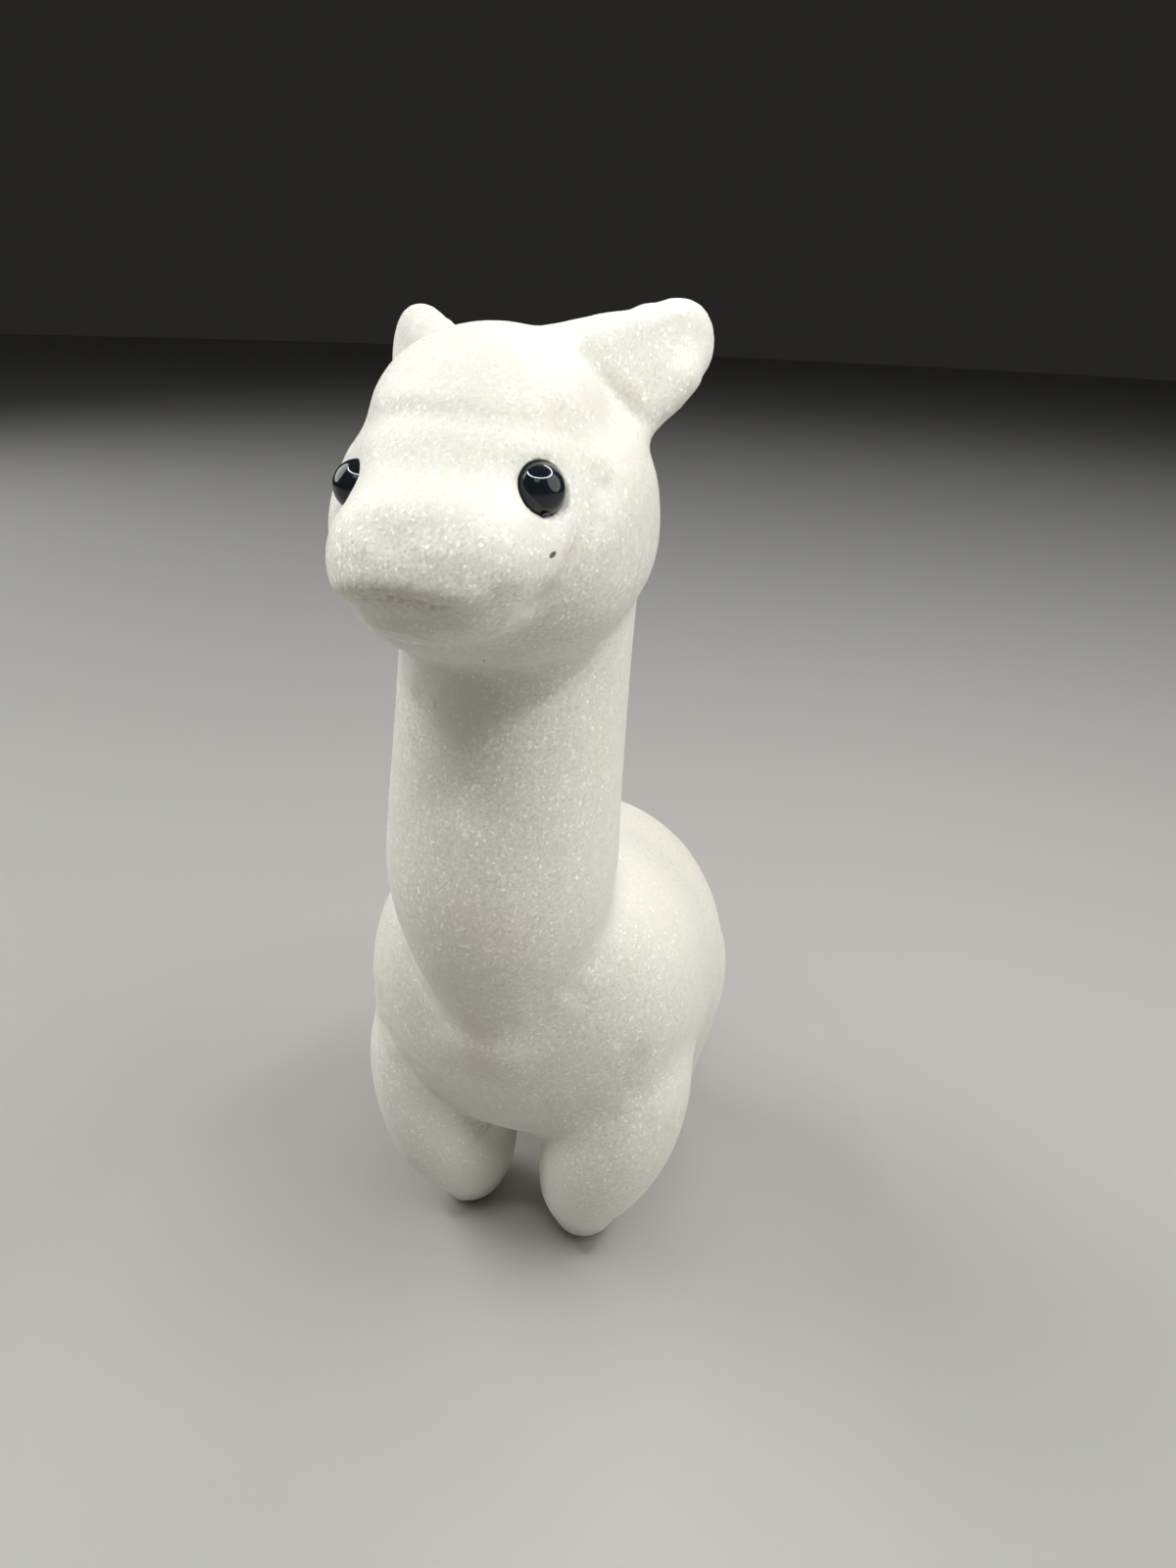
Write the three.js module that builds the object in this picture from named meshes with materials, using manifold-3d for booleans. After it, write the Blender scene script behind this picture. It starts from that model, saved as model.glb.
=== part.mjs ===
// A small llama carved from one block of white stone, with two glass beads for eyes.
// Millimetres, +Z up. The figure faces -Y, and +X is its own left side.
// The stone is one smooth field of rounded masses, blended as a carver files them together,
// and the surface where the field is zero is turned into facets.

import * as THREE from 'three';
import Module from 'manifold-3d';

const wasm = await Module();
wasm.setup();

// Driving sizes
const HEIGHT = 127.8;
const HEAD_TILT = 3.3;
const HEAD_TURN = 1.2;
const EYE_DIAMETER = 5;
const EYE_SUNK = 1;
const SOCKET_CLEARANCE = 0.3;
const SOCKET_MOUTH = 4;

// The carving is stated in millimetres of a figure of this height, and follows HEIGHT.
const STATED_HEIGHT = 127.8;
const SCALE = HEIGHT / STATED_HEIGHT;

// Rounded masses of the body. Those off the middle are mirrored to the other side, but each front foot
// has its own place.
// A squareness of 2 is an ellipsoid, and more than that has flatter sides and fuller shoulders.
const BARREL_FRONT = { at: [0, 0.7, 42.4], radii: [22.2, 16.4, 21.4], squareness: 2.25 };
const BARREL_REAR = { at: [0, 19.2, 36.2], radii: [21.9, 20.5, 23.8] };
const CHEST = { at: [0, -4.7, 41.3], radii: [19.2, 11.6, 18.1], pitch: 7.7 };
const FRONT_LEG = { at: [12.9, -1.5, 22.8], radii: [8.9, 11.5, 17.8], lean: 17.3 };
const LEFT_FRONT_FOOT = { at: [8.2, 3.2, 7], radii: [5.4, 7.3, 9] };
const RIGHT_FRONT_FOOT = { at: [10.4, 3.8, 7], radii: [5.4, 7.3, 9] };
const HIND_LEG = { at: [10.8, 29.8, 19.1], radii: [8.8, 12, 21], lean: 16.9 };
const HIND_FOOT = { at: [9.5, 29.8, 7], radii: [6.2, 8.4, 9.9] };

// Centre line of the neck and its radius, from its pointed lower end on the chest up into the head.
const NECK = [
  { at: [0, -12.4, 44], radius: 6.5 },
  { at: [0, -11.6, 51], radius: 9.9 },
  { at: [-0.2, -11, 58], radius: 12.6 },
  { at: [-0.5, -10.4, 65], radius: 13.8 },
  { at: [-0.5, -9.8, 72], radius: 13.7 },
  { at: [-0.3, -8.5, 84], radius: 13.3 },
  { at: [0, -7.3, 97.6], radius: 13.1 },
];
const NECK_STEPS = 60;

// Masses of the head. The hood is the wool round the cheeks and crown, and stands a little off the middle.
const HOOD = { at: [-0.4, -12.5, 105.6], radii: [16.5, 16.7, 13.5], pitch: 9.5, squareness: 2.45 };
const FACE = { at: [0, -17, 109.8], radii: [11.8, 12.9, 12.1], pitch: 17.1, squareness: 2.25 };
const MUZZLE = { at: [0, -27.8, 104.9], radii: [10.4, 9.9, 7.9], squareness: 2.3 };
const BRIDGE = { at: [0, -26.9, 108.7], radii: [6, 9.5, 5.7], pitch: 45 };
const FRINGE = { at: [0, -14.8, 116.8], radii: [11.6, 11.1, 8.4], pitch: 10 };
const EAR = { root: [8.3, -8.6, 117.6], tip: [15.2, 3, 123], rootRadius: 8, tipRadius: 4.4 };
const EAR_HALF_THICKNESS = 2.6;
const EAR_SPIN = -15;
const HEAD_CENTRE = [0, -12, 104.2];

// The eyes' place on the face, and a point inside the head that they face away from.
const EYE_PLACE = [8.8, -25.5, 111.1];
const EYE_LINE_START = [0, -18, 109];

// How wide the masses melt into each other.
const BLEND = {
  barrel: 18, shoulder: 4.5, neck: 4, leg: 2.5, foot: 9, sole: 0.3,
  head: 2, face: 2.2, muzzle: 5, bridge: 3, fringe: 3, ear: 2,
};

// Shallow channels filed into the stone, each along a short path on its left half.
const LIP_LINE = [[0, -37, 102.7], [4.5, -36, 102.4], [8.2, -33, 102.4]];
const FRINGE_LINE = [[0, -26.8, 117.6], [5.5, -25.6, 117.5], [10, -21.5, 116.8]];
const CHEEK_LINE = [[13, -22.6, 112], [12.7, -25.6, 108.4], [11.4, -27.9, 104.8], [9.8, -29.2, 101.5]];
const NOSE_LINE = [[0, -37.1, 107], [1.8, -36.6, 108.2], [3.4, -35.5, 109.6]];
const HEAD_CHANNELS = [
  { depth: 0.7, width: 1.6, path: LIP_LINE },
  { depth: 0.4, width: 1.4, path: FRINGE_LINE },
  { depth: 0.8, width: 2.2, path: CHEEK_LINE },
  { depth: 0.25, width: 1, path: NOSE_LINE },
];
const CHEST_LINE = [
  [0, -13.1, 26.6], [4.6, -13.4, 27.7], [7.9, -13.9, 29.9],
  [11.7, -14, 33.2], [14.9, -13.4, 37.1], [17.7, -11.6, 40.6],
];
const BODY_CHANNELS = [{ depth: 0.9, width: 1.6, path: CHEST_LINE }];
const CHANNEL_STEPS = 10;
const CHANNELS_START = 92;

// Facet sizes: fine on the head and the front, wider on the plain body and back.
const FACET_SIDE = 2.4;
const FACET_FACE = 2;
const FACET_BACK = 3.2;
const FACET_HEAD = 1.8;
const FACET_BODY = 3.2;
const HEAD_STARTS = 93;
const FACE_ENDS = -6;
const GRID_MARGIN = 4;
const RELAX_ROUNDS = 4;
const NEWTON_STEPS = 4;
const EYE_SIDES = 20;
const EYE_RINGS = 10;

const radians = (degrees) => THREE.MathUtils.degToRad(degrees);

// Smooth union of two fields over a band of the given width.
function blend(a, b, width) {
  const overlap = Math.max(width - Math.abs(a - b), 0) / width;
  return Math.min(a, b) - (overlap ** 3) * width / 6;
}

// Smooth intersection, used for the flat soles.
function keepBoth(a, b, width) {
  return -blend(-a, -b, width);
}

// Field of a rounded mass. Pitch turns it about X, and lean tips its top outwards.
function roundMass(x, y, z, { at, radii, pitch = 0, lean = 0, squareness = 2 }) {
  let dx = x - at[0];
  let dy = y - at[1];
  let dz = z - at[2];
  if (pitch) {
    const c = Math.cos(radians(pitch));
    const s = Math.sin(radians(pitch));
    [dy, dz] = [c * dy + s * dz, c * dz - s * dy];
  }
  if (lean) {
    const c = Math.cos(radians(lean));
    const s = Math.sin(radians(lean));
    [dx, dz] = [c * dx - s * dz, s * dx + c * dz];
  }
  const shares = [dx / radii[0], dy / radii[1], dz / radii[2]].map(Math.abs);
  const near = shares.reduce((sum, share) => sum + share ** squareness, 0) ** (1 / squareness);
  const rises = shares.map((share, n) => (share ** (squareness - 1)) / radii[n]);
  const slope = Math.hypot(...rises) / Math.max(near, 1e-9) ** (squareness - 1);
  return (near - 1) / Math.max(slope, 1e-9);
}

// The neck's middle and radius at each of many heights, from its lower end up.
const neckCurve = new THREE.CatmullRomCurve3(NECK.map(({ at }) => new THREE.Vector3(...at)));
const neckLine = neckCurve.getPoints(NECK_STEPS);
const girthCurve = new THREE.SplineCurve(NECK.map(({ at, radius }) => new THREE.Vector2(radius, at[2])));
const neckRadii = girthCurve.getPoints(NECK_STEPS).map((point) => point.x);

// Field of the neck: round at every height, with a ball at each end.
function neck(x, y, z) {
  const found = neckLine.findIndex((point) => point.z > z);
  const n = found < 0 ? NECK_STEPS : Math.max(found, 1);
  const [lower, upper] = [neckLine[n - 1], neckLine[n]];
  const t = THREE.MathUtils.clamp((z - lower.z) / (upper.z - lower.z), 0, 1);
  const middle = lower.clone().lerp(upper, t);
  const radius = THREE.MathUtils.lerp(neckRadii[n - 1], neckRadii[n], t);
  const slope = (neckRadii[n] - neckRadii[n - 1]) / (upper.z - lower.z);
  return (Math.hypot(x - middle.x, y - middle.y, z - middle.z) - radius) / Math.hypot(1, slope);
}

// The ear is a leaf with a round edge: wide at its root, narrower at its tip, turned about its own length.
const earLine = new THREE.Vector3(...EAR.tip).sub(new THREE.Vector3(...EAR.root));
const earLength = earLine.length();
const earAlong = earLine.clone().normalize();
const earFlat = new THREE.Vector3(0, 0, 1).cross(earAlong).normalize();
earFlat.applyAxisAngle(earAlong, radians(EAR_SPIN));
const earUp = earAlong.clone().cross(earFlat);

function ear(x, y, z) {
  const from = new THREE.Vector3(x, y, z).sub(new THREE.Vector3(...EAR.root));
  const s = from.dot(earAlong);
  const inside = Math.min(Math.max(s, 0), earLength);
  const radius = EAR.rootRadius + (EAR.tipRadius - EAR.rootRadius) * inside / earLength;
  const fromEdge = Math.hypot(s - inside, from.dot(earUp)) - radius;
  const pastCore = Math.max(fromEdge + EAR_HALF_THICKNESS, 0);
  return Math.hypot(pastCore, from.dot(earFlat)) - EAR_HALF_THICKNESS;
}

function leg(x, y, z, thigh, foot) {
  return blend(roundMass(x, y, z, thigh), roundMass(x, y, z, foot), BLEND.foot);
}

// The two halves of the body are alike but for the front feet and the neck's slight lean.
function body(x, y, z) {
  const out = Math.abs(x);
  const barrel = blend(roundMass(out, y, z, BARREL_FRONT), roundMass(out, y, z, BARREL_REAR), BLEND.barrel);
  let field = blend(barrel, roundMass(out, y, z, CHEST), BLEND.shoulder);
  field = blend(field, neck(x, y, z), BLEND.neck);
  field = blend(field, leg(out, y, z, FRONT_LEG, x > 0 ? LEFT_FRONT_FOOT : RIGHT_FRONT_FOOT), BLEND.leg);
  field = blend(field, leg(out, y, z, HIND_LEG, HIND_FOOT), BLEND.leg);
  return field + channelDepth(out, y, z, bodyChannels);
}

// Each channel's path as short straight pieces.
function channelsAlong(strokes) {
  return strokes.map(({ depth, width, path }) => {
    const points = path.map((point) => new THREE.Vector3(...point));
    return { depth, width, points: new THREE.CatmullRomCurve3(points).getPoints(CHANNEL_STEPS) };
  });
}
const headChannels = channelsAlong(HEAD_CHANNELS);
const bodyChannels = channelsAlong(BODY_CHANNELS);

function distanceToPath(x, y, z, points) {
  let nearest = Infinity;
  for (let i = 1; i < points.length; i += 1) {
    const a = points[i - 1];
    const b = points[i];
    const along = [b.x - a.x, b.y - a.y, b.z - a.z];
    const square = along[0] ** 2 + along[1] ** 2 + along[2] ** 2;
    const share = ((x - a.x) * along[0] + (y - a.y) * along[1] + (z - a.z) * along[2]) / square;
    const t = Math.min(Math.max(share, 0), 1);
    const d = Math.hypot(x - a.x - t * along[0], y - a.y - t * along[1], z - a.z - t * along[2]);
    nearest = Math.min(nearest, d);
  }
  return nearest;
}

function channelDepth(x, y, z, channels) {
  let depth = 0;
  for (const channel of channels) {
    const d = distanceToPath(x, y, z, channel.points) / channel.width;
    depth += channel.depth * Math.exp(-d * d);
  }
  return depth;
}

// The head in its own upright frame, before the carver's tilt and turn.
function head(x, y, z) {
  const out = Math.abs(x);
  const snout = blend(roundMass(out, y, z, MUZZLE), roundMass(out, y, z, BRIDGE), BLEND.bridge);
  const face = blend(roundMass(out, y, z, FACE), snout, BLEND.muzzle);
  let field = blend(roundMass(x, y, z, HOOD), face, BLEND.face);
  field = blend(field, roundMass(out, y, z, FRINGE), BLEND.fringe);
  field = blend(field, ear(out, y, z), BLEND.ear);
  return z > CHANNELS_START ? field + channelDepth(out, y, z, headChannels) : field;
}

// From the head's upright frame to the figure's, and back: a turn about Z, then a tilt about Y.
const outOfHead = new THREE.Matrix4()
  .makeTranslation(...HEAD_CENTRE)
  .multiply(new THREE.Matrix4().makeRotationY(radians(-HEAD_TILT)))
  .multiply(new THREE.Matrix4().makeRotationZ(radians(HEAD_TURN)))
  .multiply(new THREE.Matrix4().makeTranslation(...HEAD_CENTRE.map((value) => -value)));
const intoHead = outOfHead.clone().invert();

// The whole stone, negative inside, in millimetres of the real figure.
function stone(x, y, z) {
  const [sx, sy, sz] = [x / SCALE, y / SCALE, z / SCALE];
  const inHead = new THREE.Vector3(sx, sy, sz).applyMatrix4(intoHead);
  const whole = blend(body(sx, sy, sz), head(...inHead), BLEND.head);
  return keepBoth(whole, -sz, BLEND.sole) * SCALE;
}

function slopeAt(point) {
  const h = 0.02 * SCALE;
  const { x, y, z } = point;
  return new THREE.Vector3(
    stone(x + h, y, z) - stone(x - h, y, z),
    stone(x, y + h, z) - stone(x, y - h, z),
    stone(x, y, z + h) - stone(x, y, z - h),
  ).divideScalar(2 * h);
}

function pullToSurface(point) {
  for (let i = 0; i < NEWTON_STEPS; i += 1) {
    const slope = slopeAt(point);
    const square = Math.max(slope.lengthSq(), 1e-6);
    point.addScaledVector(slope, -stone(point.x, point.y, point.z) / square);
  }
}

// How far the masses reach along an axis, to its high side or its low side.
const MASSES = [
  BARREL_FRONT, BARREL_REAR, CHEST, FRONT_LEG, LEFT_FRONT_FOOT, RIGHT_FRONT_FOOT, HIND_LEG, HIND_FOOT,
  HOOD, FACE, MUZZLE, BRIDGE, FRINGE, { at: EAR.tip, radii: Array(3).fill(EAR.tipRadius) },
];

function reach(axis, side) {
  const edges = MASSES.map(({ at, radii }) => side * at[axis] + radii[axis]);
  return side * (Math.max(...edges) + GRID_MARGIN);
}

// Grid lines from low to high, a step apart that may change on the way.
function gridLines(low, high, stepAt) {
  const lines = [low - 1.5 * stepAt(low)];
  while (lines[lines.length - 1] < high) {
    const last = lines[lines.length - 1];
    lines.push(last + stepAt(last));
  }
  return lines.map((value) => value * SCALE);
}

// A grid cell's corners are numbered by bits: 1 for its far side in X, 2 in Y and 4 in Z.
const CORNERS = [0, 1, 2, 3, 4, 5, 6, 7];
const RINGS = [0, 1, 2].flatMap((axis) => {
  const [u, v] = [1 << ((axis + 1) % 3), 1 << ((axis + 2) % 3)];
  const ring = [0, u, u | v, v];
  return [ring, ring.map((corner) => corner | (1 << axis))];
});
const edgeName = (a, b) => Math.min(a, b) * CORNERS.length + Math.max(a, b);

// The crossed edges of a cell, gathered into the separate sheets of surface that pass through it.
function sheetsThrough(inside) {
  let sheets = [];
  function join(a, b) {
    const touching = sheets.filter((sheet) => sheet.has(a) || sheet.has(b));
    sheets = sheets.filter((sheet) => !touching.includes(sheet));
    sheets.push(new Set([a, b, ...touching.flatMap((sheet) => [...sheet])]));
  }
  for (const ring of RINGS) {
    const next = (n) => ring[(n + 1) % 4];
    const last = (n) => ring[(n + 3) % 4];
    const crossed = [0, 1, 2, 3].filter((n) => inside[ring[n]] !== inside[next(n)]);
    if (crossed.length === 2) join(...crossed.map((n) => edgeName(ring[n], next(n))));
    if (crossed.length < 4) continue;
    ring.forEach((corner, n) => {
      if (inside[corner]) join(edgeName(corner, next(n)), edgeName(corner, last(n)));
    });
  }
  return sheets;
}

// One point for each sheet in each grid cell, and a face round each crossed grid edge.
function facetStone() {
  const xs = gridLines(-reach(0, 1), reach(0, 1), () => FACET_SIDE);
  const ys = gridLines(reach(1, -1), reach(1, 1), (y) => (y < FACE_ENDS ? FACET_FACE : FACET_BACK));
  const zs = gridLines(0, reach(2, 1), (z) => (z > HEAD_STARTS ? FACET_HEAD : FACET_BODY));
  const lines = [xs, ys, zs];
  const strides = [1, xs.length, xs.length * ys.length];
  const at = (i, j, k) => i + j * strides[1] + k * strides[2];
  const values = new Float64Array(xs.length * ys.length * zs.length);
  for (let k = 0; k < zs.length; k += 1) {
    for (let j = 0; j < ys.length; j += 1) {
      for (let i = 0; i < xs.length; i += 1) values[at(i, j, k)] = stone(xs[i], ys[j], zs[k]);
    }
  }

  const points = [];
  const sheetsOfCell = new Map();
  function addPoint(cell, sheet) {
    const middle = new THREE.Vector3();
    for (const edge of sheet) {
      const ends = [Math.floor(edge / CORNERS.length), edge % CORNERS.length].map((corner) => {
        const index = cell.map((line, axis) => line + ((corner >> axis) & 1));
        const place = new THREE.Vector3(...index.map((n, axis) => lines[axis][n]));
        return { value: values[at(...index)], place };
      });
      const share = ends[0].value / (ends[0].value - ends[1].value);
      middle.add(ends[0].place.lerp(ends[1].place, share));
    }
    points.push(middle.divideScalar(sheet.size));
    return points.length - 1;
  }
  function cellPoint(cell, edge) {
    const key = at(...cell);
    if (!sheetsOfCell.has(key)) {
      const cornerOf = (corner) => cell.map((n, axis) => n + ((corner >> axis) & 1));
      const inside = CORNERS.map((corner) => values[at(...cornerOf(corner))] < 0);
      sheetsOfCell.set(key, sheetsThrough(inside).map((sheet) => ({ sheet, point: addPoint(cell, sheet) })));
    }
    return sheetsOfCell.get(key).find(({ sheet }) => sheet.has(edge)).point;
  }

  const quads = [];
  for (let k = 1; k < zs.length - 1; k += 1) {
    for (let j = 1; j < ys.length - 1; j += 1) {
      for (let i = 1; i < xs.length - 1; i += 1) {
        for (let axis = 0; axis < 3; axis += 1) {
          const inside = values[at(i, j, k)] < 0;
          if (inside === (values[at(i, j, k) + strides[axis]] < 0)) continue;
          const [u, v] = [(axis + 1) % 3, (axis + 2) % 3];
          const quad = [[0, 0], [1, 0], [1, 1], [0, 1]].map(([du, dv]) => {
            const cell = [i, j, k];
            cell[u] -= du;
            cell[v] -= dv;
            const corner = (du << u) | (dv << v);
            return cellPoint(cell, edgeName(corner, corner | (1 << axis)));
          });
          quads.push(inside ? quad : quad.reverse());
        }
      }
    }
  }

  // Points are evened out between their neighbours and pulled back onto the surface.
  const neighbours = points.map(() => new Set());
  for (const quad of quads) {
    quad.forEach((point, n) => {
      neighbours[point].add(quad[(n + 1) % 4]);
      neighbours[point].add(quad[(n + 3) % 4]);
    });
  }
  points.forEach(pullToSurface);
  for (let round = 0; round < RELAX_ROUNDS; round += 1) {
    const middles = points.map((point, n) => {
      const middle = new THREE.Vector3();
      neighbours[n].forEach((other) => middle.add(points[other]));
      return middle.divideScalar(neighbours[n].size).lerp(point, 0.5);
    });
    points.forEach((point, n) => point.copy(middles[n]));
    points.forEach(pullToSurface);
  }

  const triangles = [];
  for (const [a, b, c, d] of quads) {
    const shortFirst = points[a].distanceTo(points[c]) < points[b].distanceTo(points[d]);
    triangles.push(...(shortFirst ? [a, b, c, a, c, d] : [a, b, d, b, c, d]));
  }
  const geometry = new THREE.BufferGeometry();
  geometry.setAttribute('position', new THREE.Float32BufferAttribute(points.flatMap((p) => p.toArray()), 3));
  geometry.setIndex(triangles);
  return geometry;
}

function toSolid(geometry) {
  const vertProperties = new Float32Array(geometry.attributes.position.array);
  const triVerts = new Uint32Array(geometry.index.array);
  const mesh = new wasm.Mesh({ numProp: 3, vertProperties, triVerts });
  mesh.merge();
  return new wasm.Manifold(mesh);
}

function toGeometry(solid) {
  const { vertProperties, triVerts } = solid.getMesh();
  const geometry = new THREE.BufferGeometry();
  geometry.setAttribute('position', new THREE.BufferAttribute(vertProperties, 3));
  geometry.setIndex(new THREE.BufferAttribute(triVerts, 1));
  geometry.computeVertexNormals();
  return geometry;
}

// Where an eye sits: a line from inside the head, past the eye's place, meets the face,
// and the eye looks straight out there.
const SEAT_HALVINGS = 30;

function eyeSeat(side) {
  const stated = ([x, y, z]) => new THREE.Vector3(side * x, y, z).applyMatrix4(outOfHead);
  const onSide = (place) => stated(place).multiplyScalar(SCALE);
  const inside = onSide(EYE_LINE_START);
  const outside = inside.clone().lerp(onSide(EYE_PLACE), 2);
  for (let i = 0; i < SEAT_HALVINGS; i += 1) {
    const middle = inside.clone().lerp(outside, 0.5);
    if (stone(middle.x, middle.y, middle.z) < 0) inside.copy(middle);
    else outside.copy(middle);
  }
  const outward = slopeAt(inside).normalize();
  return { centre: inside.addScaledVector(outward, -EYE_SUNK), outward };
}

// A drilled socket: a ball end round the bead, and a straight wall out past the face.
function socketCutter({ centre, outward }) {
  const radius = EYE_DIAMETER / 2 + SOCKET_CLEARANCE;
  const profile = [new THREE.Vector2(0, -radius)];
  const steps = EYE_RINGS / 2;
  for (let n = 1; n <= steps; n += 1) {
    const angle = (n / steps) * Math.PI / 2;
    profile.push(new THREE.Vector2(radius * Math.sin(angle), -radius * Math.cos(angle)));
  }
  profile.push(new THREE.Vector2(radius, SOCKET_MOUTH), new THREE.Vector2(0, SOCKET_MOUTH));
  const cutter = new THREE.LatheGeometry(profile, EYE_SIDES);
  cutter.applyQuaternion(new THREE.Quaternion().setFromUnitVectors(new THREE.Vector3(0, 1, 0), outward));
  cutter.translate(centre.x, centre.y, centre.z);
  return cutter;
}

const stoneMaterial = new THREE.MeshStandardMaterial({ color: 0xe6e2d8, roughness: 0.6, metalness: 0 });
const eyeMaterial = new THREE.MeshStandardMaterial({ color: 0x0b0c0f, roughness: 0.08, metalness: 0 });

const eyes = [['left_eye', 1], ['right_eye', -1]].map(([name, side]) => ({ name, ...eyeSeat(side) }));
let carved = toSolid(facetStone());
for (const eye of eyes) carved = carved.subtract(toSolid(socketCutter(eye)));

const llama = new THREE.Mesh(toGeometry(carved), stoneMaterial);
llama.name = 'llama';

const figure = new THREE.Group();
figure.add(llama);
for (const { name, centre, outward } of eyes) {
  const bead = new THREE.Mesh(new THREE.SphereGeometry(EYE_DIAMETER / 2, EYE_SIDES, EYE_RINGS), eyeMaterial);
  bead.name = name;
  bead.position.copy(centre);
  bead.quaternion.setFromUnitVectors(new THREE.Vector3(0, 1, 0), outward);
  figure.add(bead);
}

// The origin is on the ground, under the middle of the figure's box.
llama.geometry.computeBoundingBox();
const middle = llama.geometry.boundingBox.getCenter(new THREE.Vector3());
figure.position.set(-middle.x, -middle.y, -llama.geometry.boundingBox.min.z);

export default figure;
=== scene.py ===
# A small llama carved from one block of white crystalline stone, with two glossy black bead eyes.
# Metres, +Z up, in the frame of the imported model. The figure faces -Y and +X is its own left side.
# Places on the figure are stated in millimetres from the middle of its two front feet.

import math

import bmesh
import bpy
import numpy as np
from mathutils import Euler, Matrix, Vector, noise


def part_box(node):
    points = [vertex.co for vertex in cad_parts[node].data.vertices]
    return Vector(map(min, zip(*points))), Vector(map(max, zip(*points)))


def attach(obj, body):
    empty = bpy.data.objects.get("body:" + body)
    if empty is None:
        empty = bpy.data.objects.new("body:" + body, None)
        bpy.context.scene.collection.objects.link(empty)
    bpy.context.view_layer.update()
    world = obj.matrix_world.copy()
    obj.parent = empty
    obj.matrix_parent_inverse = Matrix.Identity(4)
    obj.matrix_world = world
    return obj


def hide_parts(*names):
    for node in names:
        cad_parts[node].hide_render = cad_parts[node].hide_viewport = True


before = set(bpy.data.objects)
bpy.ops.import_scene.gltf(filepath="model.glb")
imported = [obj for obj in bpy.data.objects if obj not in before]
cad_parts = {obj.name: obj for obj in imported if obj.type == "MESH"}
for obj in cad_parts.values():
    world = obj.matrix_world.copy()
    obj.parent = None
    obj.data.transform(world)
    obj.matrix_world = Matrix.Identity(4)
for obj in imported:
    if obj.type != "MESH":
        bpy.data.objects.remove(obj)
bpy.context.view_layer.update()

MM = 0.001

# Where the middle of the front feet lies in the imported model
FEET_MIDDLE = Vector((0.008, -2.078, 0)) * MM

# The carver's tilt and turn of the head, about a point in the middle of it
HEAD_TILT = math.radians(3.3)
HEAD_TURN = math.radians(1.2)
HEAD_CENTRE = Vector((0, -12, 104.2))
HEAD_AXES = Matrix.Rotation(-HEAD_TILT, 3, "Y") @ Matrix.Rotation(HEAD_TURN, 3, "Z")


# Places and directions

def place(x, y, z):
    """A place on the body, from millimetres off the middle of the front feet to the model's frame."""
    return FEET_MIDDLE + Vector((x, y, z)) * MM


def head_place(x, y, z):
    """A place on the head, stated as if the head stood upright."""
    return place(*(HEAD_AXES @ (Vector((x, y, z)) - HEAD_CENTRE) + HEAD_CENTRE))


def feet_millimetres(places):
    """The model's places, one to a row, as millimetres off the middle of the front feet."""
    return (places - np.array(FEET_MIDDLE)) / MM


def head_millimetres(places):
    """The same in the upright head's own axes."""
    centre = np.array(HEAD_CENTRE)
    return (feet_millimetres(places) - centre) @ np.array(HEAD_AXES) + centre


def mirrored(places):
    """The same places with the right half laid over the left, for a stroke that both sides have."""
    return np.abs(places * [1, 0, 0]) + places * [0, 1, 1]


# Camera

CAMERA_PLACE = place(45.124, -123.634, 127.627)
CAMERA_TURN = (66.743, -2.119, 18.211)
PHOTO_WIDTH, PHOTO_HEIGHT = 1200, 1600
FOCAL_PIXELS = 1155
SENSOR = 36
NEAREST_SEEN = 0.005


def make_camera():
    data = bpy.data.cameras.new("camera")
    data.sensor_width = SENSOR
    data.lens = SENSOR * FOCAL_PIXELS / max(PHOTO_WIDTH, PHOTO_HEIGHT)
    data.clip_start = NEAREST_SEEN
    camera = bpy.data.objects.new("camera", data)
    camera.location = CAMERA_PLACE
    camera.rotation_euler = Euler([math.radians(turn) for turn in CAMERA_TURN])
    bpy.context.scene.collection.objects.link(camera)
    bpy.context.scene.camera = camera


# Node helpers

def new_material(name):
    material = bpy.data.materials.new(name)
    material.use_nodes = True
    return material, material.node_tree, material.node_tree.nodes["Principled BSDF"]


def node(tree, kind, settings=(), **inputs):
    """A node of that kind. Settings are its own properties, and inputs are values or other nodes' sockets.
    An input called i0, i1 and so on is found by its number, for nodes whose inputs share a name."""
    made = tree.nodes.new(kind)
    for name, value in dict(settings).items():
        setattr(made, name, value)
    for name, value in inputs.items():
        numbered = name[0] == "i" and name[1:].isdigit()
        socket = made.inputs[int(name[1:])] if numbered else made.inputs[name]
        if isinstance(value, bpy.types.NodeSocket):
            tree.links.new(value, socket)
        else:
            socket.default_value = value
    return made


def arithmetic(tree, operation, *values, clamp=False):
    inputs = {f"i{n}": value for n, value in enumerate(values)}
    return node(tree, "ShaderNodeMath", {"operation": operation, "use_clamp": clamp}, **inputs).outputs[0]


def vector_arithmetic(tree, operation, *values, **inputs):
    inputs |= {f"i{n}": value for n, value in enumerate(values)}
    return node(tree, "ShaderNodeVectorMath", {"operation": operation}, **inputs).outputs["Vector"]


def between(tree, value, low, high):
    """0 below low, 1 above high, and smooth between."""
    settings = {"interpolation_type": "SMOOTHSTEP"}
    made = node(tree, "ShaderNodeMapRange", settings, Value=value, **{"From Min": low, "From Max": high})
    return made.outputs["Result"]


def spread(tree, share, low, high):
    """Low where the share is 0, high where it is 1, and in line between."""
    made = node(tree, "ShaderNodeMapRange", Value=share, **{"To Min": low, "To Max": high})
    return made.outputs["Result"]


def mix_colour(tree, share, first, second):
    return node(tree, "ShaderNodeMix", {"data_type": "RGBA"}, i0=share, i6=first, i7=second).outputs[2]


def noise_value(tree, coordinates, scale, detail, roughness=0.5):
    inputs = {"Vector": coordinates, "Scale": scale, "Detail": detail, "Roughness": roughness}
    return node(tree, "ShaderNodeTexNoise", **inputs).outputs[0]


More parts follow.
